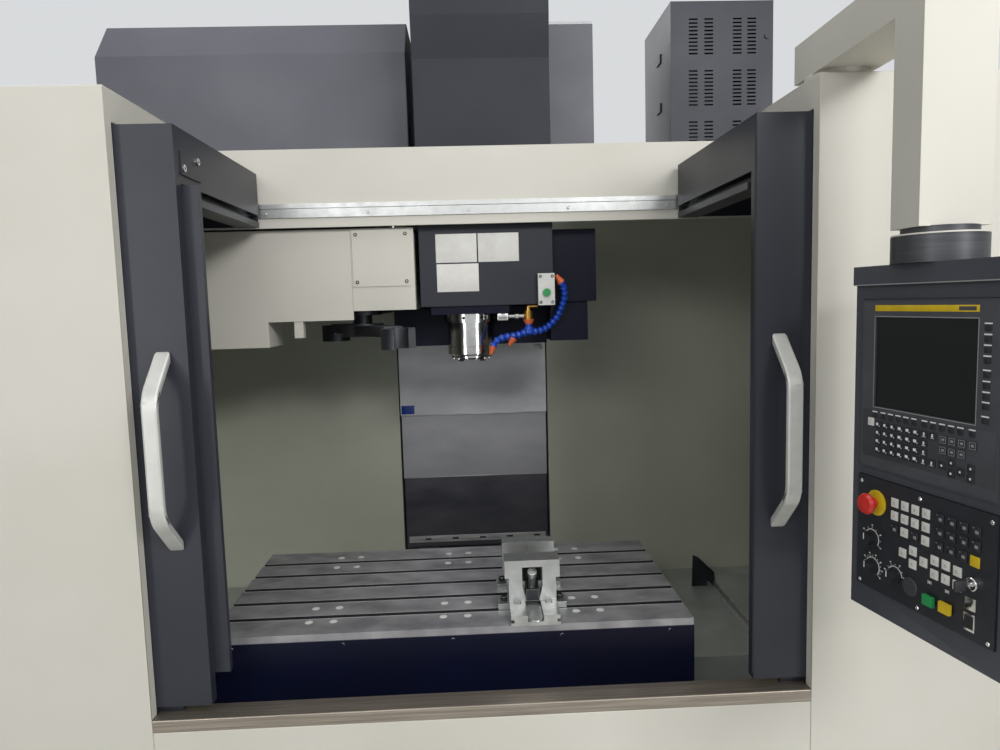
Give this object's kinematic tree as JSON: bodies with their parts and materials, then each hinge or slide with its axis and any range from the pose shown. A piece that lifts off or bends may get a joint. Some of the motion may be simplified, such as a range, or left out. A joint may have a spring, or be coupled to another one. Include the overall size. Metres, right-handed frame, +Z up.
{
  "type": "vertical machining centre",
  "caption": "Enclosed vertical machining centre with sliding doors, slotted table with vise, vertical spindle head, arm tool changer and swinging control pendant.",
  "frame": {"origin": "on the floor, straight below the spindle axis", "axes": "+X to the operator's right, +Y towards the back, +Z up"},
  "size_m": [2.8, 2.6906, 2.89],
  "materials": {
    "enclosure_paint": "fine textured light grey",
    "slate_paint": "satin slate black",
    "navy_paint": "satin navy",
    "machine_paint": "smooth mid grey",
    "wall_paint": "grey green, satin",
    "stainless": "brushed along its length",
    "bright_steel": "ground",
    "cover_steel": "brushed up and down",
    "dark_steel": "dark, oiled",
    "ground_iron": "ground",
    "white_plastic": "smooth",
    "black_plastic": "fine texture",
    "green_plastic": "smooth",
    "yellow_plastic": "smooth",
    "red_plastic": "smooth",
    "blue_plastic": "smooth",
    "brass_fitting": "plain",
    "satin_metal": "satin anodised",
    "window_glass": "clear"
  },
  "bodies": {
    "frame": {"levelling_pads": "dark_steel", "bed": "machine_paint", "column": "machine_paint", "left_enclosure": "enclosure_paint", "right_enclosure": "enclosure_paint", "front_lower_panel": "enclosure_paint", "door_sill": "stainless", "header_beam": "enclosure_paint", "guide_rails": "bright_steel", "rear_wall": "wall_paint", "chip_trays": "wall_paint", "magazine_cover": "slate_paint", "changer_cover": "enclosure_paint", "changer_access_cover": "enclosure_paint", "changer_gearbox": "dark_steel", "electrical_cabinet": "enclosure_paint", "louvre_box": "slate_paint", "column_top_cover": "slate_paint", "lower_way_cover": "cover_steel", "drive_motors": "dark_steel"},
    "saddle": {"saddle": "machine_paint", "x_servo_motor": "dark_steel"},
    "table": {"table": "ground_iron", "table_plugs": "white_plastic", "front_apron": "navy_paint", "vise_body": "bright_steel", "vise_clamps": "bright_steel"},
    "vise_jaw": {"vise_moving_jaw": "bright_steel"},
    "vise_screw": {"vise_screw": "bright_steel"},
    "head": {"head_casting": "navy_paint", "head_cover": "slate_paint", "spindle_motor": "dark_steel", "head_side_box": "navy_paint", "tool_release_box": "white_plastic", "upper_way_cover": "cover_steel", "coolant_valve": "brass_fitting", "coolant_hoses": "blue_plastic", "spindle_housing": "bright_steel"},
    "release_button": {"tool_release_button": "green_plastic"},
    "spindle": {"spindle_shaft": "dark_steel"},
    "middle_cover": {"middle_way_cover": "cover_steel"},
    "changer_arm": {"changer_arm": "dark_steel"},
    "magazine": {"magazine_disc": "dark_steel", "tool_pots": "white_plastic"},
    "left_door": {"left_door": "navy_paint", "left_door_window": "window_glass", "left_door_handle": "satin_metal"},
    "right_door": {"right_door": "navy_paint", "right_door_window": "window_glass", "right_door_handle": "satin_metal"},
    "pendant_arm": {"pendant_arm": "enclosure_paint"},
    "pendant": {"pendant_box": "slate_paint", "display_unit": "black_plastic", "operator_panel": "black_plastic"},
    "emergency_stop": {"emergency_stop": "red_plastic"},
    "mode_knob": {"mode_knob": "black_plastic"},
    "feed_knob": {"feed_knob": "black_plastic"},
    "spindle_knob": {"spindle_knob": "black_plastic"},
    "cycle_start": {"cycle_start_button": "green_plastic"},
    "feed_hold": {"feed_hold_button": "yellow_plastic"}
  },
  "joints": [
    {"name": "saddle_slide", "type": "slide", "parent": "frame", "child": "saddle", "axis": [0, 1, 0], "range_m": [0, 0.6]},
    {"name": "table_slide", "type": "slide", "parent": "saddle", "child": "table", "axis": [1, 0, 0], "range_m": [-0.463, 0.597]},
    {"name": "vise_jaw_slide", "type": "slide", "parent": "table", "child": "vise_jaw", "axis": [0, 1, 0], "range_m": [-0.05, 0.07]},
    {"name": "vise_screw_turn", "type": "hinge", "parent": "vise_jaw", "child": "vise_screw", "pos_m": [0.138, -0.536, 0.99], "axis": [0, -0.5, 0.866], "range_deg": [-360, 360]},
    {"name": "head_slide", "type": "slide", "parent": "frame", "child": "head", "axis": [0, 0, 1], "range_m": [-0.51, 0.09]},
    {"name": "release_button_press", "type": "slide", "parent": "head", "child": "release_button", "axis": [0, 1, 0], "range_m": [0, 0.003], "stiffness_N_per_m": 800},
    {"name": "spindle_turn", "type": "hinge", "parent": "head", "child": "spindle", "pos_m": [0, 0, 1.6], "axis": [0, 0, 1], "continuous": true},
    {"name": "middle_cover_slide", "type": "slide", "parent": "frame", "child": "middle_cover", "axis": [0, 0, 1], "range_m": [-0.255, 0.045]},
    {"name": "changer_arm_turn", "type": "hinge", "parent": "frame", "child": "changer_arm", "pos_m": [-0.345, 0, 1.6], "axis": [0, 0, 1], "range_deg": [-25, 40]},
    {"name": "magazine_turn", "type": "hinge", "parent": "frame", "child": "magazine", "pos_m": [-0.69, 0.3, 2.085], "axis": [0, 1, 0], "continuous": true},
    {"name": "left_door_slide", "type": "slide", "parent": "frame", "child": "left_door", "axis": [1, 0, 0], "range_m": [0, 0.612]},
    {"name": "right_door_slide", "type": "slide", "parent": "frame", "child": "right_door", "axis": [-1, 0, 0], "range_m": [0, 0.612]},
    {"name": "pendant_arm_turn", "type": "hinge", "parent": "frame", "child": "pendant_arm", "pos_m": [0.817, -0.74, 2.16], "axis": [0, 0, 1], "range_deg": [-20, 35]},
    {"name": "pendant_turn", "type": "hinge", "parent": "pendant_arm", "child": "pendant", "pos_m": [0.817, -1.11, 1.79], "axis": [0, 0, 1], "range_deg": [-30, 90]},
    {"name": "emergency_stop_press", "type": "slide", "parent": "pendant", "child": "emergency_stop", "axis": [0.9836, 0.1805, 0], "range_m": [0, 0.005]},
    {"name": "mode_knob_turn", "type": "hinge", "parent": "pendant", "child": "mode_knob", "pos_m": [0.75167, -1.03659, 1.228], "axis": [-0.9836, -0.1805, 0], "range_deg": [-120, 120]},
    {"name": "feed_knob_turn", "type": "hinge", "parent": "pendant", "child": "feed_knob", "pos_m": [0.75222, -1.03954, 1.174], "axis": [-0.9836, -0.1805, 0], "range_deg": [-140, 140]},
    {"name": "spindle_knob_turn", "type": "hinge", "parent": "pendant", "child": "spindle_knob", "pos_m": [0.76251, -1.0956, 1.176], "axis": [-0.9836, -0.1805, 0], "range_deg": [-120, 120]},
    {"name": "cycle_start_press", "type": "slide", "parent": "pendant", "child": "cycle_start", "axis": [0.9836, 0.1805, 0], "range_m": [0, 0.003], "stiffness_N_per_m": 600},
    {"name": "feed_hold_press", "type": "slide", "parent": "pendant", "child": "feed_hold", "axis": [0.9836, 0.1805, 0], "range_m": [0, 0.003], "stiffness_N_per_m": 600}
  ],
  "couplings": [
    {"joint": "middle_cover_slide", "follows": "head_slide", "ratio": 0.5}
  ]
}
